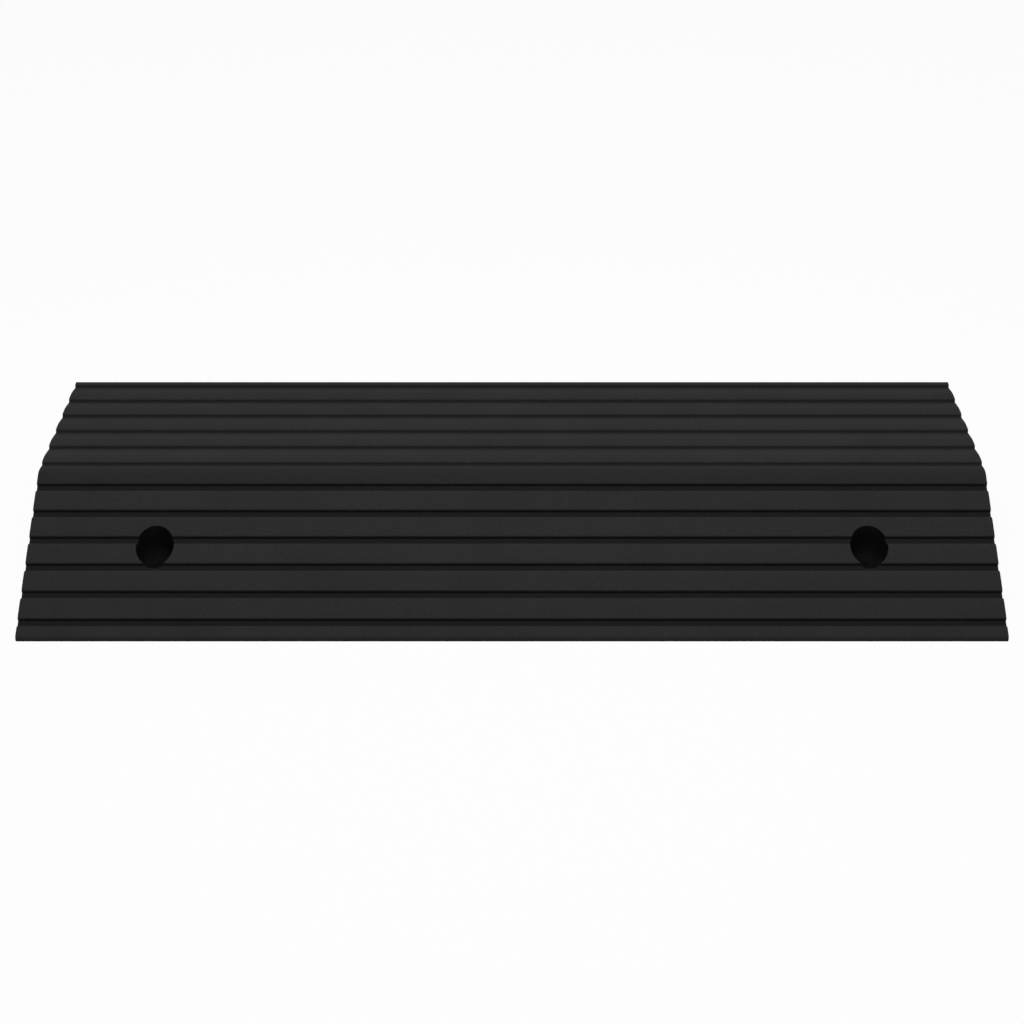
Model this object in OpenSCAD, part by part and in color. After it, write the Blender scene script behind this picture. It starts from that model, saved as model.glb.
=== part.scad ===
// Threshold ramp: a moulded rubber wedge with a ribbed tread, bolted down through two counterbored holes.
// X runs along the threshold, the thin toe points to -Y and the tall back face to +Y.
// The base lies on Z = 0.

/* [Ramp] */
// Length along the threshold
ramp_length = 900; // [700:10:1200]
// Depth from the toe to the back face
ramp_depth = 300; // [260:5:400]
// Height of the platform's rib crests above the floor
ramp_height = 85; // [70:1:120]
// Depth of the level platform behind the slope
platform_depth = 152; // [110:1:190]
// Height at which the crest line of the slope meets the toe
toe_height = 5; // [4:0.5:15]
// Radius of the toe's nose
nose_radius = 5; // [1:0.5:8]
// Radius where the slope turns into the platform
crest_radius = 12; // [2:1:30]
// Radius of the top edge of the back face
back_radius = 0.8; // [0.4:0.2:4]

/* [Tread] */
// Distance from one groove to the next, along the tread
rib_pitch = 27; // [20:0.5:40]
// Depth of a groove below the rib crests
groove_depth = 2.9; // [1.5:0.1:5]
// Steepness of a rib's riser, which faces the toe
riser_angle = 60; // [45:1:80]
// Radius of the shoulder above a riser
riser_radius = 2; // [0.5:0.1:5]
// Radius at the foot of a groove's sides
root_radius = 1; // [0.2:0.1:2]
// Height of a rib's crest above its shoulders
rib_crown = 0.3; // [0.1:0.1:1]
// Radius between a rib's level crest and the falls to its shoulders
crown_radius = 30; // [5:1:60]
// How much lower the rib is that turns from the slope to the platform
crest_drop = 1.5; // [0.2:0.1:2]
// Least width of the land between the crest and a groove
crest_land = 2; // [1:0.1:10]

/* [Slope grooves] */
// Width of a groove's flat floor on the slope
slope_floor = 5; // [2:0.1:8]
// Steepness of a rib's rear side on the slope
slope_rear_angle = 72; // [30:1:80]
// Radius of the shoulder above the rear side
slope_rear_radius = 2; // [0.5:0.1:5]
// Distance from the toe to the middle of the first groove's floor, along the slope
toe_land = 14; // [12:0.2:25]
// How much lower the part rib at the toe is
toe_drop = 1; // [0.2:0.1:1.4]

/* [Platform grooves] */
// Width of a groove's flat floor on the platform
platform_floor = 1; // [0.5:0.1:5]
// Steepness of a rib's long rear side on the platform
platform_rear_angle = 12; // [10:1:60]
// Radius of the shoulder above the rear side
platform_rear_radius = 20; // [1:1:60]
// Distance from the back face to the middle of the first groove's floor
back_land = 6.9; // [6:0.1:20]
// How much lower the part rib at the back is
back_drop = 0.2; // [0.1:0.1:1.4]

/* [Underside] */
// Thickness of the end walls and the back wall
wall = 14; // [8:1:25]
// Thickness of the rubber between the groove floors and the pockets
skin = 14; // [8:1:22]
// Thickness of the webs between the pockets
web = 12; // [6:1:20]
// Number of pockets along the ramp
pocket_columns = 10; // [8:1:16]
// Number of pockets from front to back
pocket_rows = 3; // [2:1:4]
// Height of the front pockets at their front edge
pocket_front_height = 12; // [6:1:20]
// Radius between the pocket walls and the roof
pocket_radius = 5; // [1:0.5:8]
// Angle by which the pocket walls lean in
draft = 2; // [0.5:0.5:4]

/* [Fixing holes] */
// Distance from each end of the ramp to the axis of its hole
hole_inset = 118; // [60:1:250]
// Distance from the toe to the axes of the holes
hole_setback = 79; // [60:0.5:100]
// Diameter of the counterbore that takes the bolt head and the spanner
counterbore_d = 35; // [28:0.5:40]
// Thickness of the rubber pad between the washer and the floor
pad_t = 2; // [1:0.5:10]
// Diameter of the hole for the anchor bolt
bolt_hole_d = 13.5; // [9:0.5:18]
// Thickness of the rubber boss round the counterbore
boss_wall = 13; // [8:1:20]

/* [Fixing washers] */
// How far the washer's rim reaches into the rubber round the counterbore
washer_rim = 4.5; // [2:0.5:7]
// Thickness of the washer
washer_t = 4; // [2:0.5:5]

/* [Hidden] */
$fn = 96;
rubber_black = "#2d2d2d";
zinc_plate = "#b9bcc0";
// How far a cut runs past the face that it opens
overrun = 1;
// The widest turn that one straight step of an arc takes, in degrees
arc_step = 8;
// The arcs at both ends of an edge may use this share of it
edge_share = 0.96;
slope_run = ramp_depth - platform_depth;
slope_rise = ramp_height - toe_height;
slope_angle = atan2(slope_rise, slope_run);
slope_length = norm([slope_run, slope_rise]);
// A groove's form: the width of its floor, the angle of its rear side and the radius above that
slope_form = [slope_floor, slope_rear_angle, slope_rear_radius];
platform_form = [platform_floor, platform_rear_angle, platform_rear_radius];
// The slope's crest line ends where it has climbed to the lower rib on the crest
crest_place = slope_length - crest_drop / sin(slope_angle);
crest_back = platform_depth + crest_drop / tan(slope_angle);
slope_room = crest_place - crest_land - riser_reach(slope_form, rib_crown) - toe_land;
platform_room = crest_back - crest_land - rear_reach(platform_form, crest_drop) - back_land;
slope_grooves = 1 + floor(slope_room / rib_pitch);
platform_grooves = 1 + floor(platform_room / rib_pitch);
// This share of a rib's crest is level, and the rest falls to the shoulders
level_share = 0.5;
// Depth of the pocket roofs below the crest line of the tread
roof_depth = groove_depth + skin;
roof_height = ramp_height - roof_depth;
roof_drop = roof_depth / cos(slope_angle);
pockets_front = (pocket_front_height + roof_drop - toe_height) / tan(slope_angle);
pockets_back = ramp_depth - wall;
roof_bend = (roof_height + roof_drop - toe_height) / tan(slope_angle);
row_pitch = (pockets_back - pockets_front + web) / pocket_rows;
column_pitch = (ramp_length - 2 * wall + web) / pocket_columns;
boss_d = counterbore_d + 2 * boss_wall;
washer_d = counterbore_d + 2 * washer_rim;
seat_height = pad_t + washer_t;
hole_spacing = ramp_length - 2 * hole_inset;

// A point of the slope: t along its crest line from the toe, n out of the surface
function on_slope(t, n) =
    [t * cos(slope_angle) - n * sin(slope_angle), toe_height + t * sin(slope_angle) + n * cos(slope_angle)];

// A point of the platform: s forward from the back face, n out of the surface
function on_platform(s, n) = [ramp_depth - s, ramp_height + n];

// From the middle of a groove to the shoulders on both sides, which lie this far below the crests
function rear_reach(form, drop) = form[0] / 2 + (groove_depth - drop) / tan(form[1]);
function riser_reach(form, drop) = form[0] / 2 + (groove_depth - drop) / tan(riser_angle);

// The corners [place, height, radius] of one groove, whose two shoulders lie below the crests
function groove_corners(form, rear_drop, riser_drop) = [
    [-rear_reach(form, rear_drop), -rear_drop, form[2]],
    [-form[0] / 2, -groove_depth, root_radius],
    [form[0] / 2, -groove_depth, root_radius],
    [riser_reach(form, riser_drop), -riser_drop, riser_radius]
];

// The two ends of the level crest of the full rib that follows a groove
function crest_corners(form) =
    let (start = riser_reach(form, rib_crown), stop = rib_pitch - rear_reach(form, rib_crown))
    [
        for (end = [-1, 1])
            [(start + stop) / 2 + end * level_share * (stop - start) / 2, 0, crown_radius]
    ];

function with_radius(point, radius) = [point[0], point[1], radius];

// Grooves and crests up the slope
slope_corners = [
    for (k = [0:slope_grooves - 1])
        let (last = k == slope_grooves - 1)
        let (groove = groove_corners(slope_form, k == 0 ? toe_drop : rib_crown, rib_crown))
        for (c = last ? groove : concat(groove, crest_corners(slope_form)))
            with_radius(on_slope(toe_land + k * rib_pitch + c[0], c[1]), c[2])
];

// Grooves and crests along the platform, from the crest of the slope to the back face
platform_corners = [
    for (k = [platform_grooves - 1:-1:0])
        let (rear_drop = k == platform_grooves - 1 ? crest_drop : rib_crown)
        let (groove = groove_corners(platform_form, rear_drop, k == 0 ? back_drop : rib_crown))
        for (c = k == 0 ? groove : concat(groove, crest_corners(platform_form)))
            with_radius(on_platform(back_land + k * rib_pitch - c[0], c[1]), c[2])
];

// The corners of the ramp's cross-section, from the toe over the tread and down the back face
ramp_corners = concat(
    [[0, 0, 0], with_radius([0, toe_height - toe_drop], nose_radius)],
    slope_corners,
    [with_radius(on_slope(crest_place, 0), crest_radius)],
    platform_corners,
    [with_radius(on_platform(0, -back_drop), back_radius), [ramp_depth, 0, 0]]
);

function unit(v) = v / norm(v);

function flat(corner) = [corner[0], corner[1]];

// The unit vector from one corner towards another
function towards(a, b) = unit(flat(b) - flat(a));

// The angle at corner b between its neighbours a and c
function opening(a, b, c) = acos(max(-1, min(1, towards(b, a) * towards(b, c))));

// How far along its edges the arc at corner b reaches, if nothing limits it
function wanted_reach(a, b, c) = b[2] / tan(opening(a, b, c) / 2);

// What the edge from a to b leaves of the reach that the arcs at its ends want together
function eased(a, b, reach) = reach > 0 ? min(1, edge_share * norm(flat(b) - flat(a)) / reach) : 1;

// The arc that rounds corner b between its neighbours a and c
function corner_arc(a, b, c, reach) =
    let (u = towards(b, a), v = towards(b, c))
    let (half = opening(a, b, c) / 2, turn = 180 - 2 * half)
    let (centre = flat(b) + unit(u + v) * reach / cos(half))
    let (from = flat(b) + u * reach - centre, to = flat(b) + v * reach - centre)
    let (steps = max(1, ceil(turn / arc_step)))
    [
        for (i = [0:steps])
            let (part = i / steps * turn)
            centre + (from * sin(turn - part) + to * sin(part)) / sin(turn)
    ];

// The outline through a ring of corners, each rounded to its own radius as far as its edges have room
function rounded(corners) =
    let (count = len(corners), last = count - 1)
    let (next = [for (i = [0:last]) (i + 1) % count], before = [for (i = [0:last]) (i + last) % count])
    let (reach = [for (i = [0:last]) wanted_reach(corners[before[i]], corners[i], corners[next[i]])])
    let (ease = [for (i = [0:last]) eased(corners[i], corners[next[i]], reach[i] + reach[next[i]])])
    [
        for (i = [0:last])
            let (a = corners[before[i]], b = corners[i], c = corners[next[i]])
            let (limited = reach[i] * min(ease[i], ease[before[i]]))
            for (point = limited > 0 ? corner_arc(a, b, c, limited) : [flat(b)])
                point
    ];

// Height of the pocket roof at a distance y from the toe
function roof(y) = min(roof_height, toe_height + y * tan(slope_angle) - roof_drop);

// The corners of the pockets of one row, seen from the end of the ramp
function row_corners(row) =
    let (front = pockets_front + row * row_pitch, back = front + row_pitch - web)
    let (front_top = front + roof(front) * tan(draft), back_top = back - roof(back) * tan(draft))
    let (bends = front_top < roof_bend && roof_bend < back_top)
    concat(
        [[front, 0, 0], [front_top, roof(front_top), pocket_radius]],
        bends ? [[roof_bend, roof_height, pocket_radius]] : [],
        [[back_top, roof(back_top), pocket_radius], [back, 0, 0]]
    );

// Runs an outline of [y, z] points along the whole length of the ramp
module along_ramp(points) {
    translate([-ramp_length / 2, -ramp_depth / 2, 0])
        rotate([90, 0, 90])
            linear_extrude(ramp_length)
                polygon(points);
}

module at_hole(side) {
    translate([side * hole_spacing / 2, hole_setback - ramp_depth / 2, 0])
        children();
}

// Slots across the ramp, one for each column of pockets
module pocket_column_slots() {
    lean = ramp_height * tan(draft);
    width = column_pitch - web;
    for (column = [0:pocket_columns - 1])
        translate([wall - ramp_length / 2 + column * column_pitch, ramp_depth / 2, 0])
            rotate([90, 0, 0])
                linear_extrude(ramp_depth)
                    polygon([[0, 0], [width, 0], [width - lean, ramp_height], [lean, ramp_height]]);
}

// Hollow moulding pockets in the underside, clear of the bosses round the fixing holes
module pockets() {
    difference() {
        intersection() {
            for (row = [0:pocket_rows - 1])
                along_ramp(rounded(row_corners(row)));
            pocket_column_slots();
        }
        for (side = [-1, 1])
            at_hole(side)
                cylinder(d = boss_d, h = ramp_height);
    }
}

// Counterbore, seat for the moulded-in washer and bolt hole, as one cut
module fixing_hole() {
    translate([0, 0, seat_height])
        cylinder(d = counterbore_d, h = ramp_height);
    translate([0, 0, pad_t])
        cylinder(d = washer_d, h = washer_t);
    translate([0, 0, -overrun])
        cylinder(d = bolt_hole_d, h = seat_height + overrun);
}

module ramp_body() {
    color(rubber_black)
        difference() {
            along_ramp(rounded(ramp_corners));
            pockets();
            for (side = [-1, 1])
                at_hole(side)
                    fixing_hole();
        }
}

module fixing_washer(side) {
    color(zinc_plate)
        at_hole(side)
            translate([0, 0, pad_t])
                difference() {
                    cylinder(d = washer_d, h = washer_t);
                    translate([0, 0, -overrun])
                        cylinder(d = bolt_hole_d, h = washer_t + 2 * overrun);
                }
}

ramp_body();
fixing_washer(-1);  // fixing_washer_left
fixing_washer(1);  // fixing_washer_right
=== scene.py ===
# %% [markdown]
# # A moulded rubber threshold ramp
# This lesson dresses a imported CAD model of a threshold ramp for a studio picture.
# The real ramp is one heavy rubber moulding: a wedge with a ribbed tread, a level top, two holes
# for floor anchors and a hollow underside. Two steel washers are moulded into the floors of the
# holes. The CAD model fixes the sizes. Blender adds what a mould leaves behind: rounded lines, a
# matt grain, soft rims and the sheen of zinc plate.

# %% Load the CAD frame
import math

import bmesh
import bpy
from mathutils import Matrix, Vector


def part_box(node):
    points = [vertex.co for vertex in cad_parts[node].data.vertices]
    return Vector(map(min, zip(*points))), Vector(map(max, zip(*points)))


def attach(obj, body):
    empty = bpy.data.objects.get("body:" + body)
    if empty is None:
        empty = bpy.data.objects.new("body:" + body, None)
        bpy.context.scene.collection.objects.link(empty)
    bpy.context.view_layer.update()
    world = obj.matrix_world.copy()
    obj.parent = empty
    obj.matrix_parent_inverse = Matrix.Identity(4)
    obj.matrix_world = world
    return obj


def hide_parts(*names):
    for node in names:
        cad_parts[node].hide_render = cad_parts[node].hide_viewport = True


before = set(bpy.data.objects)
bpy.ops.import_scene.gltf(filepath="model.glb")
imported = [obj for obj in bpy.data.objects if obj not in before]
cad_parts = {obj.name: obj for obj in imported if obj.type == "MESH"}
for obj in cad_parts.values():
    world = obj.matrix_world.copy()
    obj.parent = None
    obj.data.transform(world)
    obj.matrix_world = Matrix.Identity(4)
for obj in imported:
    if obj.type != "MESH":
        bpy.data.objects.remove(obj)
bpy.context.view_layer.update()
print("CAD nodes:", sorted(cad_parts))

# %% [markdown]
# ## Sizes
# The ramp's length, depth and height are read from the CAD node, so the two models can't drift
# apart. The tread's sizes repeat those of the part's source, in metres: Blender's own unit.
# The slope is a plane through the toe, and the platform a plane through the back edge. A place on
# either is given by a distance along it, and a depth by a distance below it.

# %% Sizes of the ramp and its tread
mm = 0.001
lowest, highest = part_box("ramp_body")
length, depth, height = highest - lowest
toe_height = 5 * mm
platform_depth = 152 * mm
slope_angle = math.atan2(height - toe_height, depth - platform_depth)

toe = Vector((0, -depth / 2, toe_height))
up_slope = Vector((0, math.cos(slope_angle), math.sin(slope_angle)))
slope_normal = Vector((0, -math.sin(slope_angle), math.cos(slope_angle)))
back_edge = Vector((0, depth / 2, height))
forward = Vector((0, -1, 0))
upward = Vector((0, 0, 1))
print(f"ramp {length:.3f} x {depth:.3f} x {height:.3f} m,",
      f"slope {math.degrees(slope_angle):.1f} degrees")

# %% [markdown]
# ## The blank
# A mould maker starts from a block, and so does this mesh: a cube is stretched to the ramp's size,
# and one plane cuts the wedge off it. Bisect leaves the cut open, so its edges are filled with a
# face. A list of vertices would give the same wedge, but the cut shows where the slope comes from.

# %% Cut the wedge from a block
def everything(mesh):
    return mesh.verts[:] + mesh.edges[:] + mesh.faces[:]


def edges_of(geometry):
    return [g for g in geometry if isinstance(g, bmesh.types.BMEdge)]


def verts_of(geometry):
    return [g for g in geometry if isinstance(g, bmesh.types.BMVert)]


ramp = bmesh.new()
bmesh.ops.create_cube(ramp, size=1)
bmesh.ops.scale(ramp, vec=(length, depth, height), verts=ramp.verts)
bmesh.ops.translate(ramp, vec=(0, 0, height / 2), verts=ramp.verts)
cut = bmesh.ops.bisect_plane(
    ramp, geom=everything(ramp), plane_co=toe, plane_no=slope_normal, clear_outer=True)
bmesh.ops.contextual_create(ramp, geom=edges_of(cut["geom_cut"]))
ramp.normal_update()
print("blank:", len(ramp.faces), "faces")

# %% [markdown]
# ## Ribs and grooves
# Each rib of the tread has a riser that faces the toe, for grip on the way up.
# On the slope a groove is a channel with a flat floor and a steep rear side. On the platform the
# rear side is long and gentle, so that the ribs overlap like shingles. The part ribs at the toe
# and the back are lower than the rest, and so is the one that turns from the slope to the
# platform.
# A groove is four lines: the top of the rear side, both sides of the floor and the top of the
# riser. A crest is two more. Every line is a place along the surface, a drop below it and a
# rounding radius.

# %% Sizes of the ribs
rib_pitch = 27 * mm
groove_count = 6
groove_depth = 2.9 * mm
riser_angle = math.radians(60)
riser_radius = 2 * mm
root_radius = 1 * mm
rib_crown = 0.3 * mm
crown_radius = 30 * mm
crown_shares = (0.25, 0.75)  # places of a crest's two lines, as shares of its width
toe_drop = 1 * mm
back_drop = 0.2 * mm
crest_drop = 1.5 * mm
toe_land = 14 * mm
back_land = 6.9 * mm
# Width of the floor, angle of the rear side and radius above it
slope_form = (5 * mm, math.radians(72), 2 * mm)
platform_form = (1 * mm, math.radians(12), 20 * mm)
print(groove_count, "grooves on either surface,", round(rib_pitch / mm), "mm apart")


# %% Places of the rib lines
def groove_reach(form, drop, angle):
    """How far from a groove's middle a side with this angle has come up to this drop."""
    return form[0] / 2 + (groove_depth - drop) / math.tan(angle)


def groove_lines(form, rear_drop, riser_drop):
    """Place, drop and radius of a groove's lines, counted from its middle."""
    floor_width, rear_angle, rear_radius = form
    return [
        (-groove_reach(form, rear_drop, rear_angle), rear_drop, rear_radius),
        (-floor_width / 2, groove_depth, root_radius),
        (floor_width / 2, groove_depth, root_radius),
        (groove_reach(form, riser_drop, riser_angle), riser_drop, riser_radius),
    ]


def crest_lines(form):
    """The same for the crest above the groove's riser."""
    start = groove_reach(form, rib_crown, riser_angle)
    stop = rib_pitch - groove_reach(form, rib_crown, form[1])
    return [(start + share * (stop - start), 0, crown_radius) for share in crown_shares]


slope_lines = []
platform_lines = []
for k in range(groove_count):
    groove = groove_lines(slope_form, toe_drop if k == 0 else rib_crown, rib_crown)
    crest = [] if k == groove_count - 1 else crest_lines(slope_form)
    for offset, drop, radius in groove + crest:
        slope_lines.append((toe_land + k * rib_pitch + offset, drop, radius))
for k in reversed(range(groove_count)):
    rear_drop = crest_drop if k == groove_count - 1 else rib_crown
    groove = groove_lines(platform_form, rear_drop, back_drop if k == 0 else rib_crown)
    crest = [] if k == 0 else crest_lines(platform_form)
    for offset, drop, radius in groove + crest:
        platform_lines.append((back_land + k * rib_pitch - offset, drop, radius))
print(len(slope_lines), "lines on the slope,", len(platform_lines), "on the platform")

# %% [markdown]
# ## Score the tread, then sink the grooves
# Each line is scored into its surface with a bisecting plane that cuts that surface alone. Only
# when all lines are there do they sink to their depths, because a tilted face would shift the next
# cut. The toe edge, the crest and the back edge are already edges of the wedge, and move in the
# same way.

# %% Score and sink
same_point = 1e-6  # metres
same_plane = 0.9999  # cosine of the angle between two normals


def edge_at(point):
    """The edge along the ramp that passes through a point of its cross-section."""
    return [e for e in ramp.edges if all((v.co - point).yz.length < same_point for v in e.verts)]


def score(origin, direction, normal, lines):
    """Cuts each line into the faces of one plane. Returns its edges, drop vector and radius."""
    scored = []
    for place, drop, radius in lines:
        faces = [f for f in ramp.faces if f.normal.dot(normal) > same_plane]
        edges = list({e for f in faces for e in f.edges})
        verts = list({v for f in faces for v in f.verts})
        cut = bmesh.ops.bisect_plane(
            ramp, geom=verts + edges + faces, plane_co=origin + direction * place,
            plane_no=direction)
        scored.append((edges_of(cut["geom_cut"]), -drop * normal, radius))
    return scored


slope_length = math.hypot(height - toe_height, depth - platform_depth)
crest_edge = toe + up_slope * slope_length
crest_slide = -up_slope * crest_drop / math.sin(slope_angle)
nose_radius = 5 * mm
crest_radius = 12 * mm
back_radius = 0.8 * mm

section = [(edge_at(toe), -toe_drop * upward, nose_radius)]
section += score(toe, up_slope, slope_normal, slope_lines)
section += [(edge_at(crest_edge), crest_slide, crest_radius)]
section += score(back_edge, forward, upward, platform_lines)
section += [(edge_at(back_edge), -back_drop * upward, back_radius)]
for edges, drop, radius in section:
    bmesh.ops.translate(ramp, verts=list({v for e in edges for v in e.verts}), vec=drop)
print("scored tread:", len(ramp.faces), "faces")
print("every line is one edge:", all(len(edges) == 1 for edges, drop, radius in section))

# %% [markdown]
# ## Round every line
# Rubber leaves its mould with no sharp line, so every edge of the section gets a bevel with its
# own radius. Bevel asks for a width, which is the radius times the tangent of half the turn. Two
# bevels at the ends of one face have to share it, so where they want more than there is, both give
# way alike. The edges of the sole stay sharp, because the mould opens there.

# %% Bevel the section
usable_share = 0.96  # of a face, for the bevels at its two ends
degrees_per_segment = 8


def bevel(mesh, edges, width, segments):
    return bmesh.ops.bevel(
        mesh, geom=edges, offset=width, offset_type="OFFSET", affect="EDGES", segments=segments,
        profile=0.5, material=-1, clamp_overlap=False, loop_slide=True)


corners = [Vector((0, -depth / 2, 0))]
corners += [edges[0].verts[0].co * Vector((0, 1, 1)) for edges, drop, radius in section]
corners += [Vector((0, depth / 2, 0))]
sides = [b - a for a, b in zip(corners, corners[1:])]
turns = [a.angle(b) for a, b in zip(sides, sides[1:])]
widths = [radius * math.tan(turn / 2) for (edges, drop, radius), turn in zip(section, turns)]
wanted = [a + b for a, b in zip([0] + widths, widths + [0])]
eased = [min(1, usable_share * side.length / want) for side, want in zip(sides, wanted)]
for i, (edges, drop, radius) in enumerate(section):
    width = widths[i] * min(eased[i], eased[i + 1])
    segments = max(2, round(math.degrees(turns[i]) / degrees_per_segment))
    bevel(ramp, edges, width, segments)
print("rounded section:", len(ramp.faces), "faces")

# %% [markdown]
# ## Ends
# The end faces meet the tread in a small round. A bevel along the outline would have to turn every
# corner of the ribs, where an inset simply shrinks the whole end face. So the face first steps
# back by the radius, and then comes out again in a few insets that follow a quarter circle.

# %% Round the ends
end_radius = 0.3 * mm
end_steps = 4
for side in (-1, 1):
    end = [f for f in ramp.faces if f.normal.x * side > same_plane]
    bmesh.ops.translate(ramp, verts=end[0].verts[:], vec=(-side * end_radius, 0, 0))
    for step in range(end_steps):
        start, stop = (math.pi / 2 * (step + s) / end_steps for s in (0, 1))
        bmesh.ops.inset_region(
            ramp, faces=end, thickness=end_radius * (math.cos(start) - math.cos(stop)),
            depth=end_radius * (math.sin(stop) - math.sin(start)), use_even_offset=True)
print("ends at", [round(reach(v.co.x for v in ramp.verts), 4) for reach in (min, max)])

# %% [markdown]
# ## From bmesh to object
# The shape so far is one closed mesh. Holes and hollows are cut with the Boolean modifier, which
# works on objects, so a small helper turns a bmesh into an object, and another cuts one object
# with a second and throws the cutter away. The exact solver keeps every line of the ribs where it
# was.

# %% Make the ramp an object
def as_object(name, mesh):
    mesh.normal_update()
    data = bpy.data.meshes.new(name)
    mesh.to_mesh(data)
    mesh.free()
    piece = bpy.data.objects.new(name, data)
    bpy.context.scene.collection.objects.link(piece)
    return piece


def cut_away(piece, cutter):
    boolean = piece.modifiers.new("cut", "BOOLEAN")
    boolean.operation = "DIFFERENCE"
    boolean.solver = "EXACT"
    boolean.object = cutter
    evaluated = piece.evaluated_get(bpy.context.evaluated_depsgraph_get())
    cut_mesh = bpy.data.meshes.new_from_object(evaluated)
    piece.modifiers.clear()
    piece.data = cut_mesh
    bpy.data.objects.remove(cutter)


ramp_moulding = as_object("ramp_moulding", ramp)
print(ramp_moulding.name, len(ramp_moulding.data.polygons), "faces")

# %% [markdown]
# ## Pockets of the underside
# Rubber this thick would be dear, heavy and slow to cure, so the mould has a core that hollows the
# underside into pockets between webs. The roofs of the pockets run parallel to the tread, and
# their walls lean in by two degrees so that the moulding slides off the core.
# The core is modelled here as it is made: one block for each pocket, with its top corners moved to
# the roof and every edge rounded but those at the mouth.

# %% Layout of the core
wall = 14 * mm
skin = 14 * mm
web = 12 * mm
pocket_columns = 10
pocket_rows = 3
pocket_front_height = 12 * mm
pocket_radius = 5 * mm
lean = math.tan(math.radians(2))

roof_depth = groove_depth + skin
roof_drop = roof_depth / math.cos(slope_angle)
roof_height = height - roof_depth
slope_rate = math.tan(slope_angle)
first_row = -depth / 2 + (pocket_front_height + roof_drop - toe_height) / slope_rate
roof_bend = -depth / 2 + (roof_height + roof_drop - toe_height) / slope_rate
row_pitch = (depth / 2 - wall - first_row + web) / pocket_rows
column_pitch = (length - 2 * wall + web) / pocket_columns


def roof(y):
    return min(roof_height, toe_height + (y + depth / 2) * slope_rate - roof_drop)


pocket_width, pocket_depth = column_pitch - web, row_pitch - web
print(f"pockets {pocket_width / mm:.1f} x {pocket_depth / mm:.1f} mm,",
      f"up to {roof_height / mm:.1f} mm high")

# %% Blocks of the core
overrun = 1 * mm
near_wall = 1 * mm
flat_turn = math.radians(5)


def core_block(core, x, y):
    """One pocket's block, whose mouth starts at x, y and lies a little below the floor."""
    # The block is a metre high until its corners are moved to the mouth and the roof
    block = bmesh.ops.create_cube(core, size=1)["verts"]
    bmesh.ops.scale(core, vec=(pocket_width, pocket_depth, 1), verts=block)
    bmesh.ops.translate(core, vec=(x + pocket_width / 2, y + pocket_depth / 2, 0.5), verts=block)
    geometry = block + list({e for v in block for e in v.link_edges})
    geometry += list({f for v in block for f in v.link_faces})
    if y < roof_bend < y + pocket_depth:
        bend = bmesh.ops.bisect_plane(
            core, geom=geometry, plane_co=(0, roof_bend, 0), plane_no=(0, 1, 0))
        geometry += bend["geom"]
    corners = set(verts_of(geometry))
    for corner in corners:
        if corner.co.z < 0.5:
            corner.co.z = -overrun
            continue
        rise = roof(corner.co.y)
        corner.co.x += rise * lean * (1 if corner.co.x < x + pocket_width / 2 else -1)
        if corner.co.y < y + near_wall:
            corner.co.y += rise * lean
        elif corner.co.y > y + pocket_depth - near_wall:
            corner.co.y -= rise * lean
        corner.co.z = roof(corner.co.y)
    core.normal_update()
    rounded = [e for e in {e for v in corners for e in v.link_edges}
               if max(v.co.z for v in e.verts) > 0 and e.calc_face_angle() > flat_turn]
    bevel(core, rounded, pocket_radius, segments=4)


core = bmesh.new()
for row in range(pocket_rows):
    for column in range(pocket_columns):
        core_block(core, wall - length / 2 + column * column_pitch, first_row + row * row_pitch)
print("core:", len(core.faces), "faces,", sum(not e.is_manifold for e in core.edges), "open edges")

# %% [markdown]
# The rubber stays solid in a boss round each fixing hole, so that the anchor has something to
# clamp. Two cylinders are therefore bored out of the core before the core is cut out of the ramp.

# %% Hollow the underside
hole_inset = 118 * mm
hole_setback = 79 * mm
counterbore_radius = 17.5 * mm
boss_wall = 13 * mm
boss_radius = counterbore_radius + boss_wall
round_steps = 96
hole_centres = [
    Vector((side * (length / 2 - hole_inset), hole_setback - depth / 2, 0)) for side in (-1, 1)]

bosses = bmesh.new()
for centre in hole_centres:
    bmesh.ops.create_cone(
        bosses, cap_ends=True, segments=round_steps, radius1=boss_radius, radius2=boss_radius,
        depth=2 * height, matrix=Matrix.Translation(centre))
mould_core = as_object("mould_core", core)
cut_away(mould_core, as_object("bosses", bosses))
cut_away(ramp_moulding, mould_core)
print("hollow ramp:", len(ramp_moulding.data.polygons), "faces")

# %% [markdown]
# ## Fixing holes
# A counterbore sinks through the slope to a seat for the steel washer, and a bolt hole goes on
# through the pad below. Half of the cutter's outline is drawn once and spun round each hole's
# axis, as on a lathe. Its upper part is wider by the radius of the rim: that part is opened again
# in the next cell, where the rim is rounded.

# %% Bore the holes
bolt_hole_radius = 6.75 * mm
washer_rim = 4.5 * mm
washer_thickness = 4 * mm
pad_thickness = 2 * mm
seat_height = pad_thickness + washer_thickness
rim_radius = 0.6 * mm
rim_foot = 26 * mm
merge_gap = 1e-7  # metres

washer_radius = counterbore_radius + washer_rim
rim_mouth = counterbore_radius + rim_radius
hole_outline = [
    (0, -overrun), (bolt_hole_radius, -overrun), (bolt_hole_radius, pad_thickness),
    (washer_radius, pad_thickness), (washer_radius, seat_height),
    (counterbore_radius, seat_height), (counterbore_radius, rim_foot), (rim_mouth, rim_foot),
    (rim_mouth, 2 * height), (0, 2 * height)]


def lathe(mesh, outline, centre):
    """Spins an outline of (radius, height) points round an upright axis."""
    verts = [mesh.verts.new(centre + Vector((radius, 0, z))) for radius, z in outline]
    edges = [mesh.edges.new(pair) for pair in zip(verts, verts[1:])]
    bmesh.ops.spin(
        mesh, geom=verts + edges, cent=centre, axis=(0, 0, 1), angle=2 * math.pi,
        steps=round_steps, use_merge=True)
    bmesh.ops.remove_doubles(mesh, verts=mesh.verts, dist=merge_gap)
    bmesh.ops.recalc_face_normals(mesh, faces=mesh.faces)


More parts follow.
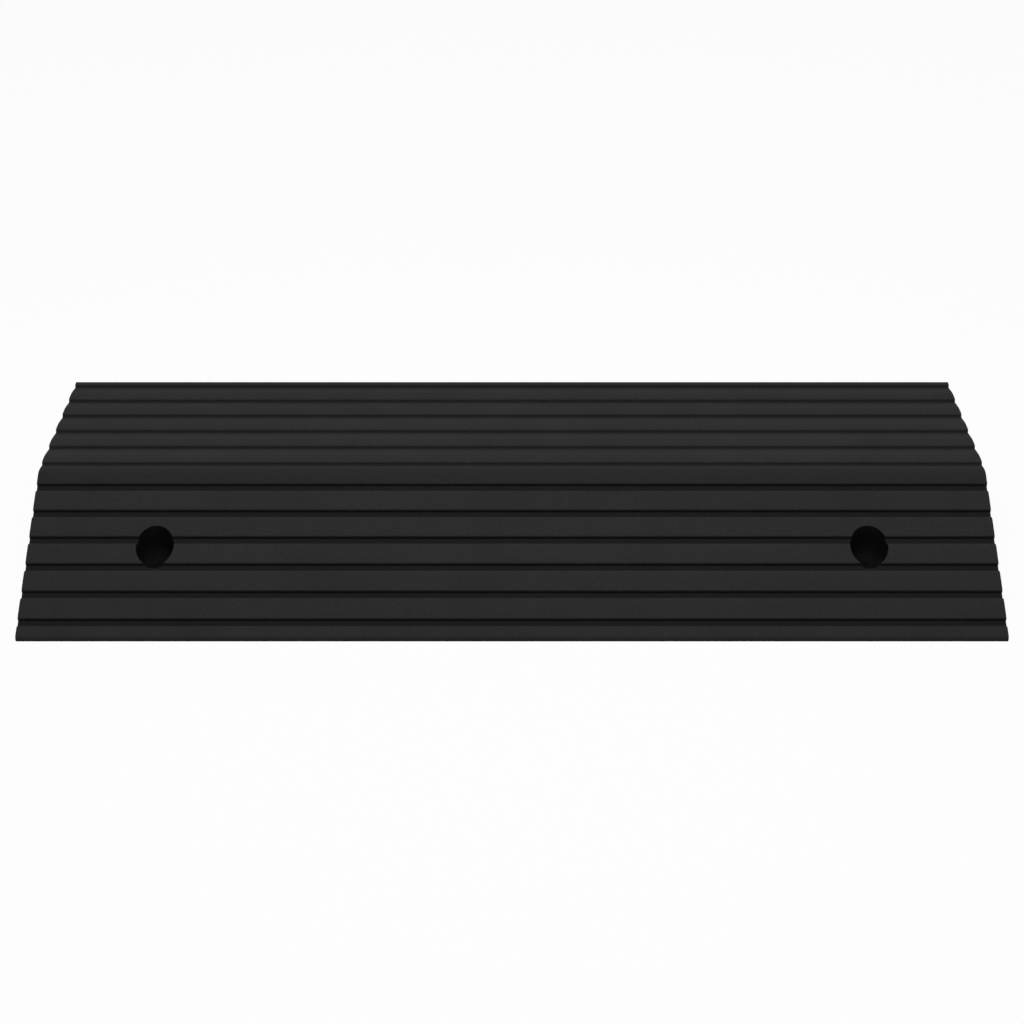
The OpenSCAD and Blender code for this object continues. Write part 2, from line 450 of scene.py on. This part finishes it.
borers = bmesh.new()
for centre in hole_centres:
    lathe(borers, hole_outline, centre)
print("borers:", sum(not e.is_manifold for e in borers.edges), "open edges")
cut_away(ramp_moulding, as_object("borers", borers))
print("bored ramp:", len(ramp_moulding.data.polygons), "faces")

# %% [markdown]
# ## Soft rims
# The mouth of a counterbore runs over ribs and grooves, so a bevel would stumble over their many
# short edges. The wide upper wall is deleted instead, and the open mouth is extruded inwards and
# downwards along a quarter circle, ring by ring. The wall below is a prism with 96 sides, and each
# side is closed with one face, between an edge of the foot and the part of the last ring straight
# above it. A bridge would pair the two rings by count, and cut across the hole.

# %% Round the rims
rim_steps = 4
near = 0.1 * mm
slack = 0.001  # share of an edge
upright = 0.01  # the most that an upright face's normal may point up or down


def outwards(vert, centre):
    """The level vector from a hole's axis to a vertex."""
    return (vert.co - centre) * Vector((1, 1, 0))


def at_foot(piece):
    return all(abs(v.co.z - rim_foot) < near for v in piece.verts)


def straight_above(edge, verts):
    """The vertices upright above a level edge, from its second end to its first."""
    first, second = edge.verts
    run = second.co - first.co
    shares = {}
    for vert in verts:
        reach = vert.co - first.co
        share = reach.dot(run) / run.length_squared
        if -slack < share < 1 + slack and abs(run.cross(reach).z) < near * run.length:
            shares[vert] = share
    return sorted(shares, key=shares.get, reverse=True)


ramp = bmesh.new()
ramp.from_mesh(ramp_moulding.data)
ramp.normal_update()
for centre in hole_centres:
    wide_wall = [f for f in ramp.faces if abs(f.normal.z) < upright and all(
        abs(outwards(v, centre).length - rim_mouth) < near for v in f.verts)]
    step = [f for f in ramp.faces if at_foot(f) and all(
        outwards(v, centre).length < rim_mouth + near for v in f.verts)]
    bmesh.ops.delete(ramp, geom=wide_wall + step, context="FACES")
    bmesh.ops.delete(ramp, geom=[e for e in ramp.edges if e.is_wire], context="EDGES")
    openings = [e for e in ramp.edges if e.is_boundary]
    foot = [e for e in openings if at_foot(e)]
    ring = [e for e in openings if e not in foot]
    mouth_size = len(ring)
    for turn in range(rim_steps):
        start, stop = (math.pi / 2 * (turn + s) / rim_steps for s in (0, 1))
        ring_geometry = bmesh.ops.extrude_edge_only(ramp, edges=ring)["geom"]
        inwards = rim_radius * (math.sin(stop) - math.sin(start))
        downwards = rim_radius * (math.cos(start) - math.cos(stop))
        for vert in verts_of(ring_geometry):
            vert.co -= outwards(vert, centre).normalized() * inwards + upward * downwards
        ring = edges_of(ring_geometry)
    last_ring = {v for e in ring for v in e.verts}
    for edge in foot:
        ramp.faces.new(edge.verts[:] + straight_above(edge, last_ring))
    bmesh.ops.recalc_face_normals(ramp, faces=ramp.faces)
    open_edges = sum(not e.is_manifold for e in ramp.edges)
    print("rim of", mouth_size, "edges,", open_edges, "open edges left")

# %% [markdown]
# ## Finish the moulding
# The faces are shaded smooth, with sharp lines kept where the mesh turns by more than 35 degrees.
# The normals are weighted by area, so that flat faces look flat and only the rounds between them
# shade over.

# %% Shade the ramp
sharp_turn = math.radians(35)
ramp.to_mesh(ramp_moulding.data)
ramp.free()
ramp_moulding.data.shade_smooth()
ramp_moulding.data.set_sharp_from_angle(angle=sharp_turn)
weighted = ramp_moulding.modifiers.new("flat faces", "WEIGHTED_NORMAL")
weighted.mode = "FACE_AREA"
weighted.weight = 100
weighted.keep_sharp = True
print(ramp_moulding.name, len(ramp_moulding.data.vertices), "vertices")

# %% [markdown]
# ## Washers
# Each hole has a punched steel ring at its foot, moulded in so that the anchor's head can't pull
# through the rubber. It is a small rectangle, spun round the hole's axis and bevelled: a press
# rounds the edge that the punch enters, so a washer with four sharp corners would look turned.

# %% Spin the washers
punch_radius = 0.5 * mm
corner_turn = math.radians(60)
washer_outline = [
    (bolt_hole_radius, pad_thickness), (washer_radius, pad_thickness), (washer_radius, seat_height),
    (bolt_hole_radius, seat_height), (bolt_hole_radius, pad_thickness)]


def washer(name, centre):
    ring = bmesh.new()
    lathe(ring, washer_outline, centre)
    corner_edges = [e for e in ring.edges if e.calc_face_angle() > corner_turn]
    bevel(ring, corner_edges, punch_radius, segments=3)
    piece = as_object(name, ring)
    piece.data.shade_smooth()
    piece.data.set_sharp_from_angle(angle=sharp_turn)
    return piece


washers = {}
for side, centre in zip(("left", "right"), hole_centres):
    washers[side] = washer("washer_" + side, centre)
    print(washers[side].name, len(washers[side].data.polygons), "faces")

# %% [markdown]
# ## Materials
# One function turns an sRGB hex colour to linear light. Another adds a node: it sets the node's
# options and fills its sockets, with a plain value or with a link to another node. A node that is
# passed whole stands for its first output in use, which is nearly always the one that is wanted.
# Everything else is a short list of nodes for each finish.
# A Mix node has a set of sockets for each type of data, with the same names in every set, so they
# are found by number.

# %% Helpers for materials
colour_a, colour_b, colour_mixed = 6, 7, 2
number_a, number_b, number_mixed = 2, 3, 0


def linear(hex_colour):
    shares = [int(hex_colour[i:i + 2], 16) / 255 for i in (1, 3, 5)]
    return [s / 12.92 if s <= 0.04045 else ((s + 0.055) / 1.055) ** 2.4 for s in shares] + [1]


def add_node(tree, kind, inputs, **settings):
    node = tree.nodes.new(kind)
    for name, value in settings.items():
        setattr(node, name, value)
    for socket, value in inputs.items():
        if isinstance(value, bpy.types.Node):
            value = next(output for output in value.outputs if output.enabled)
        if isinstance(value, bpy.types.NodeSocket):
            tree.links.new(value, node.inputs[socket])
        else:
            node.inputs[socket].default_value = value
    return node


def new_material(name):
    material = bpy.data.materials.new(name)
    material.use_nodes = True
    tree = material.node_tree
    return material, tree, tree.nodes["Principled BSDF"]


print("black rubber in linear light:", [round(c, 4) for c in linear("#272727")])

# %% [markdown]
# ### Moulded black rubber
# Carbon black makes the rubber swallow most light, and a sand-blasted mould leaves it matt with a
# fine grain. Its colour is a deep neutral grey with faint clouds where the mix flowed unevenly, and
# painted shade makes it almost black in the grooves and on the risers.
#
# A shader can't tell a rib from a groove, so the first cells measure it at every point. The tread
# is made of two planes, and a point's height above the slope or the platform is negative below it.
# The greater of both heights is the one above the tread. The floors of the grooves lie at the full
# groove depth and get painted shade, lifted a little towards the grey of the crests.

# %% Rubber: height above the tread
rubber, tree, surface = new_material("moulded_black_rubber")
place = add_node(tree, "ShaderNodeTexCoord", {}).outputs["Object"]
axes = add_node(tree, "ShaderNodeSeparateXYZ", {"Vector": place})
along_normal = add_node(tree, "ShaderNodeVectorMath", {
    0: place, 1: slope_normal}, operation="DOT_PRODUCT")
above_slope = add_node(tree, "ShaderNodeMath", {
    0: along_normal, 1: toe.dot(slope_normal)}, operation="SUBTRACT")
above_platform = add_node(tree, "ShaderNodeMath", {
    0: axes.outputs["Z"], 1: height}, operation="SUBTRACT")
above_tread = add_node(tree, "ShaderNodeMath", {
    0: above_slope, 1: above_platform}, operation="MAXIMUM")
# Painted shade: the groove floors are coloured dark, and the shade fades out over a short height
# above them.
floor_shade_height = 0.35 * mm
floor_lit_share = 0.15
above_floor = add_node(tree, "ShaderNodeMapRange", {
    "Value": above_tread, "From Min": -groove_depth, "From Max": floor_shade_height - groove_depth,
    "To Min": floor_lit_share, "To Max": 1})
print("groove floors end", round((groove_depth - floor_shade_height) / mm, 2), "mm below the tread")

# %% [markdown]
# The steeper a riser stands, the darker its painted shade, and the upward part of the surface
# normal tells how steep that is. The risers of the slope are nearly upright and are painted black.
# Those of the platform lean back and are painted half grey. The change is spread over the rounding
# between riser and crest.

# %% Rubber: crests
riser_tilt, crest_tilt = math.radians(78), math.radians(32)
normal = add_node(tree, "ShaderNodeNewGeometry", {}).outputs["Normal"]
facing_up = add_node(tree, "ShaderNodeSeparateXYZ", {"Vector": normal}).outputs["Z"]
# Painted shade: the steeper a face stands, the darker its colour.
not_riser = add_node(tree, "ShaderNodeMapRange", {
    "Value": facing_up, "From Min": math.cos(riser_tilt), "From Max": math.cos(crest_tilt),
    "To Min": 0, "To Max": 1})
on_crest = add_node(tree, "ShaderNodeMath", {0: above_floor, 1: not_riser}, operation="MULTIPLY")
# Faces tilted less than this are free of painted shade.
print("fully rubbed up to a tilt of", round(math.degrees(crest_tilt)), "degrees")

# %% [markdown]
# The ends, the back and the rounded nose of the toe are open to the light as well, and get no
# painted shade. They are the outermost layer of the ramp's length and depth, and the ramp stands
# centred on its axes, so a distance from the middle finds them. The rest, such as the pockets, is
# given the near-black painted shade.

# %% Rubber: surfaces free of painted shade
wall_layer = (-1.5 * mm, -0.5 * mm)
nose_depth = 3 * mm
across = add_node(tree, "ShaderNodeMath", {0: axes.outputs["X"]}, operation="ABSOLUTE")
past_end = add_node(tree, "ShaderNodeMath", {0: across, 1: length / 2}, operation="SUBTRACT")
along = add_node(tree, "ShaderNodeMath", {0: axes.outputs["Y"]}, operation="ABSOLUTE")
past_edge = add_node(tree, "ShaderNodeMath", {
    0: along, 1: depth / 2 - nose_depth}, operation="SUBTRACT")
past_wall = add_node(tree, "ShaderNodeMath", {0: past_end, 1: past_edge}, operation="MAXIMUM")
on_wall = add_node(tree, "ShaderNodeMapRange", {
    "Value": past_wall, "From Min": wall_layer[0], "From Max": wall_layer[1],
    "To Min": 0, "To Max": 1})
unshaded_and_rubbed = add_node(tree, "ShaderNodeMath", {0: on_crest, 1: on_wall}, operation="MAXIMUM")
print("exposed surface:", len(tree.nodes), "nodes so far")

# %% [markdown]
# Three noises make the surface uneven. The grain of the mould is under a millimetre, too fine for
# the picture, so it is drawn at 2.2 mm. The clouds are as wide as a hand, and the flow marks are
# streaks along the ramp, because the rubber was pressed out sideways to the ends of the mould.

# %% Rubber: grain, clouds and flow
grain_size, cloud_size = 2.2 * mm, 60 * mm
flow_length, flow_width = 300 * mm, 9 * mm
noise_low, noise_high = 0.3, 0.7  # most of a noise lies between these
grain = add_node(tree, "ShaderNodeTexNoise", {
    "Vector": place, "Scale": 1 / grain_size, "Detail": 3, "Roughness": 0.6})
clouds = add_node(tree, "ShaderNodeTexNoise", {
    "Vector": place, "Scale": 1 / cloud_size, "Detail": 4, "Roughness": 0.55})
cloudy = add_node(tree, "ShaderNodeMapRange", {
    "Value": clouds, "From Min": noise_low, "From Max": noise_high, "To Min": 0, "To Max": 1})
flow_place = add_node(tree, "ShaderNodeMapping", {
    "Vector": place, "Scale": (1 / flow_length, 1 / flow_width, 1 / flow_width)})
flow = add_node(tree, "ShaderNodeTexNoise", {
    "Vector": flow_place, "Scale": 1, "Detail": 2, "Roughness": 0.5})
print(f"grain {grain_size / mm:.1f} mm, clouds {cloud_size / mm:.0f} mm,",
      f"flow {flow_length / mm:.0f} mm")

# %% [markdown]
# The crest rib, where the slope turns to the platform, is coloured a shade darker than its
# neighbours. It is found by the distance from its middle line. The grain then adds flecks, by
# brightening and darkening the colour by a tenth.

# %% Rubber: colour
crest_rib_offset = 5 * mm
crest_rib_middle = depth / 2 - platform_depth - crest_rib_offset
crest_rib_reach, crest_rib_fade = 8.5 * mm, 2 * mm
fleck_low, fleck_high = 0.35, 0.65  # grain between which a fleck turns from dark to bright
fleck_share = 0.1
cloud_colour = add_node(tree, "ShaderNodeMix", {
    "Factor": cloudy, colour_a: linear("#272727"), colour_b: linear("#2a2a2a")}, data_type="RGBA")
past_rib = add_node(tree, "ShaderNodeMath", {
    0: axes.outputs["Y"], 1: crest_rib_middle}, operation="SUBTRACT")
from_rib = add_node(tree, "ShaderNodeMath", {0: past_rib}, operation="ABSOLUTE")
on_rib = add_node(tree, "ShaderNodeMapRange", {
    "Value": from_rib, "From Min": crest_rib_reach, "From Max": crest_rib_reach + crest_rib_fade,
    "To Min": 1, "To Max": 0})
darker_crest_rib = add_node(tree, "ShaderNodeMath", {0: on_rib, 1: on_crest}, operation="MULTIPLY")
cloud_and_rib_colour = add_node(tree, "ShaderNodeMix", {
    "Factor": darker_crest_rib, colour_a: cloud_colour, colour_b: linear("#242424")}, data_type="RGBA")
# Painted shade: grooves, risers, pockets and the underside get a near-black colour.
colour_with_painted_shade = add_node(tree, "ShaderNodeMix", {
    "Factor": unshaded_and_rubbed, colour_a: linear("#171717"), colour_b: cloud_and_rib_colour}, data_type="RGBA")
flecks = add_node(tree, "ShaderNodeMapRange", {
    "Value": grain, "From Min": fleck_low, "From Max": fleck_high,
    "To Min": 1 - fleck_share, "To Max": 1 + fleck_share})
colour = add_node(tree, "ShaderNodeMix", {
    "Factor": 1.0, colour_a: colour_with_painted_shade, colour_b: flecks},
    data_type="RGBA", blend_type="MULTIPLY")
tree.links.new(colour.outputs[colour_mixed], surface.inputs["Base Color"])
print("crest rib from", round((crest_rib_middle - crest_rib_reach) / mm, 1), "mm to",
      round((crest_rib_middle + crest_rib_reach) / mm, 1), "mm")

# %% [markdown]
# Rubbed surfaces are a little smoother than sheltered ones, and the flow marks show as streaks in
# the sheen. The sheen itself is weak: fine soot on the surface scatters what a clean plastic would
# reflect, so the specular level is far below the usual half.

# %% Rubber: sheen and grain
rubber_ior = 1.5
sheltered_roughness, rubbed_roughness, flow_roughness = 0.8, 0.66, 0.12
matt = add_node(tree, "ShaderNodeMapRange", {
    "Value": unshaded_and_rubbed, "From Min": 0, "From Max": 1,
    "To Min": sheltered_roughness, "To Max": rubbed_roughness})
streaky = add_node(tree, "ShaderNodeMath", {
    0: flow, 1: flow_roughness, 2: matt}, operation="MULTIPLY_ADD")
bump = add_node(tree, "ShaderNodeBump", {
    "Height": grain, "Strength": 0.35, "Distance": 0.15 * mm})
tree.links.new(streaky.outputs["Value"], surface.inputs["Roughness"])
tree.links.new(bump.outputs["Normal"], surface.inputs["Normal"])
surface.inputs["IOR"].default_value = rubber_ior
surface.inputs["Specular IOR Level"].default_value = 0.04
ramp_moulding.data.materials.clear()
ramp_moulding.data.materials.append(rubber)
print(rubber.name, len(tree.nodes), "nodes")

# %% [markdown]
# ### Smooth black rubber
# The pins that shape the counterbores are turned and polished, so the rubber comes off them
# smooth, with a little of the sheen that the blasted tread lacks. Low in each hole it mirrors the
# bright foot, as a faint patch in the black. The pins leave fine rings round the wall, so this
# noise is long in the level and short in height. The real rings are too fine to show and are drawn
# at 1.5 mm.

# %% Smooth rubber of the bores
bore_rubber, tree, surface = new_material("smooth_black_rubber")
place = add_node(tree, "ShaderNodeTexCoord", {}).outputs["Object"]
ring_height, ring_length = 1.5 * mm, 60 * mm
ring_place = add_node(tree, "ShaderNodeMapping", {
    "Vector": place, "Scale": (1 / ring_length, 1 / ring_length, 1 / ring_height)})
rings = add_node(tree, "ShaderNodeTexNoise", {
    "Vector": ring_place, "Scale": 1, "Detail": 2, "Roughness": 0.5})
# Painted shade: the bore walls are coloured darker than the tread, deep in the holes, with a faint
# change along the rings.
shaded_bore_colour = add_node(tree, "ShaderNodeMix", {
    "Factor": rings, colour_a: linear("#0e0e0e"), colour_b: linear("#131313")}, data_type="RGBA")
smooth = add_node(tree, "ShaderNodeMapRange", {
    "Value": rings, "From Min": noise_low, "From Max": noise_high, "To Min": 0.3, "To Max": 0.38})
bump = add_node(tree, "ShaderNodeBump", {
    "Height": rings, "Strength": 0.05, "Distance": 0.05 * mm})
tree.links.new(shaded_bore_colour.outputs[colour_mixed], surface.inputs["Base Color"])
tree.links.new(smooth.outputs["Result"], surface.inputs["Roughness"])
tree.links.new(bump.outputs["Normal"], surface.inputs["Normal"])
surface.inputs["IOR"].default_value = rubber_ior
surface.inputs["Specular IOR Level"].default_value = 0.1
print(bore_rubber.name, len(tree.nodes), "nodes")

# %% [markdown]
# The walls of the counterbores are the faces above the seats that lie no further from a hole's
# axis than the counterbore's radius. The rounded rims lie just outside it and keep the matt
# rubber.

# %% Smooth walls
ramp_moulding.data.materials.append(bore_rubber)
bore_slot = len(ramp_moulding.data.materials) - 1
bore_walls = [face for face in ramp_moulding.data.polygons if face.center.z > seat_height and any(
    (face.center - centre).xy.length < counterbore_radius for centre in hole_centres)]
for face in bore_walls:
    face.material_index = bore_slot
print(bore_rubber.name, "on", len(bore_walls), "faces")

# %% [markdown]
# ### Zinc-plated steel
# Barrel-plated washers are bright and slightly blue, with a satin face from tumbling against each
# other, scratched in every direction, and a darker film in the low spots.

# %% Zinc
zinc, tree, surface = new_material("bright_zinc_plate")
place = add_node(tree, "ShaderNodeTexCoord", {}).outputs["Object"]
film_size, scratch_size = 7 * mm, 0.9 * mm
film = add_node(tree, "ShaderNodeTexNoise", {
    "Vector": place, "Scale": 1 / film_size, "Detail": 4, "Roughness": 0.6})
scratches = add_node(tree, "ShaderNodeTexNoise", {
    "Vector": place, "Scale": 1 / scratch_size, "Detail": 3, "Roughness": 0.7})
tint = add_node(tree, "ShaderNodeMix", {
    "Factor": film, colour_a: linear("#9fa4aa"), colour_b: linear("#c6c9cc")}, data_type="RGBA")
satin = add_node(tree, "ShaderNodeMapRange", {
    "Value": film, "From Min": noise_low, "From Max": noise_high, "To Min": 0.7, "To Max": 0.55})
bump = add_node(tree, "ShaderNodeBump", {
    "Height": scratches, "Strength": 0.25, "Distance": 0.05 * mm})
tree.links.new(tint.outputs[colour_mixed], surface.inputs["Base Color"])
tree.links.new(satin.outputs["Result"], surface.inputs["Roughness"])
tree.links.new(bump.outputs["Normal"], surface.inputs["Normal"])
surface.inputs["Metallic"].default_value = 1
for piece in washers.values():
    piece.data.materials.append(zinc)
print(zinc.name, len(tree.nodes), "nodes")

# %% [markdown]
# ## Join the pieces to the frame
# Nothing on the ramp moves, so all pieces ride on the one body. Each new piece replaces the CAD
# node of the same part, and the table lists the finish that the part's record gives it.

# %% Ride and replace
stands_for = {
    "ramp_body": (ramp_moulding, "rubber"),
    "fixing_washer_left": (washers["left"], "zinc_plated_steel"),
    "fixing_washer_right": (washers["right"], "zinc_plated_steel"),
}
for node, (piece, slot) in stands_for.items():
    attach(piece, "root")
    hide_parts(node)
    print(piece.name, "stands for", node)

# %% [markdown]
# ## Camera
# The picture looks straight at the toe from above, at 38 degrees, through a lens just over 50 mm.
# The height and distance put the ribs within about a pixel of their rows in the photograph.

# %% Camera
camera_distance, camera_height = 969.6 * mm, 908.8 * mm
camera_dip = 38.08  # degrees below the horizon
camera_data = bpy.data.cameras.new("camera")
camera_data.sensor_width = 36
camera_data.lens = 51.33
camera = bpy.data.objects.new("camera", camera_data)
camera.location = (0, toe.y - camera_distance, camera_height)
camera.rotation_euler = (math.radians(90 - camera_dip), 0, 0)
bpy.context.scene.collection.objects.link(camera)
bpy.context.scene.camera = camera
print("camera at", [round(c, 3) for c in camera.location])

# %% [markdown]
# ## Floor and light
# A black object on white needs light from above: it falls on the tops of the ribs, and leaves the
# risers, which face the camera, in the dark. A wide softbox overhead gives most of it. The sky of
# the studio adds the rest, bright behind the ramp and dim in front.
#
# The background is white without more light on the ramp, because for the rays that the eye
# follows, straight or by reflection, the sky is plain white and the floor nearly all white
# emission. A small share of real paint is left in the floor, and shows the ramp's shadow. All
# other rays meet the real paint and the real sky.

# %% Floor
floor_half = 6
emission_share = 0.95
white_light = (1, 1, 1, 1)


def seen_rays(tree):
    """One for rays that the eye follows, and nought for those that only carry light."""
    rays = add_node(tree, "ShaderNodeLightPath", {})
    seen = add_node(tree, "ShaderNodeMath", {
        0: rays.outputs["Is Camera Ray"], 1: rays.outputs["Is Glossy Ray"]}, operation="MAXIMUM")
    return add_node(tree, "ShaderNodeMath", {
        0: seen, 1: rays.outputs["Is Transmission Ray"]}, operation="MAXIMUM")


floor_mesh = bmesh.new()
bmesh.ops.create_grid(floor_mesh, x_segments=1, y_segments=1, size=floor_half)
floor = as_object("floor", floor_mesh)
floor_paint, tree, surface = new_material("floor_paint")
surface.inputs["Base Color"].default_value = linear("#d8d8d8")
surface.inputs["Roughness"].default_value = 0.9
surface.inputs["Specular IOR Level"].default_value = 0
white_share = add_node(tree, "ShaderNodeMath", {
    0: seen_rays(tree), 1: emission_share}, operation="MULTIPLY")
white = add_node(tree, "ShaderNodeEmission", {"Color": white_light, "Strength": 1})
paint = add_node(tree, "ShaderNodeMixShader", {0: white_share, 1: surface, 2: white})
tree.links.new(paint.outputs["Shader"], tree.nodes["Material Output"].inputs["Surface"])
floor.data.materials.append(floor_paint)
print("floor", 2 * floor_half, "m square")

# %% Light
softbox_data = bpy.data.lights.new("overhead_softbox", "AREA")
softbox_data.shape = "RECTANGLE"
softbox_data.size = 2.0
softbox_data.size_y = 0.9
softbox_data.energy = 21.4
softbox = bpy.data.objects.new("overhead_softbox", softbox_data)
softbox.location = (0, -0.26, 1.35)
softbox.visible_camera = False
bpy.context.scene.collection.objects.link(softbox)
print("softbox", round(softbox_data.energy, 1), "W")

# %% Sky
front_sky, back_sky = 0.05, 0.35
front_turn, back_turn = -0.5, 0.3  # Y of the directions between which the sky brightens
world = bpy.data.worlds.new("studio")
bpy.context.scene.world = world
world.use_nodes = True
tree = world.node_tree
direction = add_node(tree, "ShaderNodeTexCoord", {}).outputs["Generated"]
parts = add_node(tree, "ShaderNodeSeparateXYZ", {"Vector": direction})
sky = add_node(tree, "ShaderNodeMapRange", {
    "Value": parts.outputs["Y"], "From Min": front_turn, "From Max": back_turn,
    "To Min": front_sky, "To Max": back_sky})
strength = add_node(tree, "ShaderNodeMix", {
    "Factor": seen_rays(tree), number_a: sky, number_b: 1.0}, data_type="FLOAT")
tree.links.new(strength.outputs[number_mixed], tree.nodes["Background"].inputs["Strength"])
tree.nodes["Background"].inputs["Color"].default_value = white_light
bpy.context.scene.view_settings.view_transform = "Standard"
print("sky from", front_sky, "in front to", back_sky, "behind")
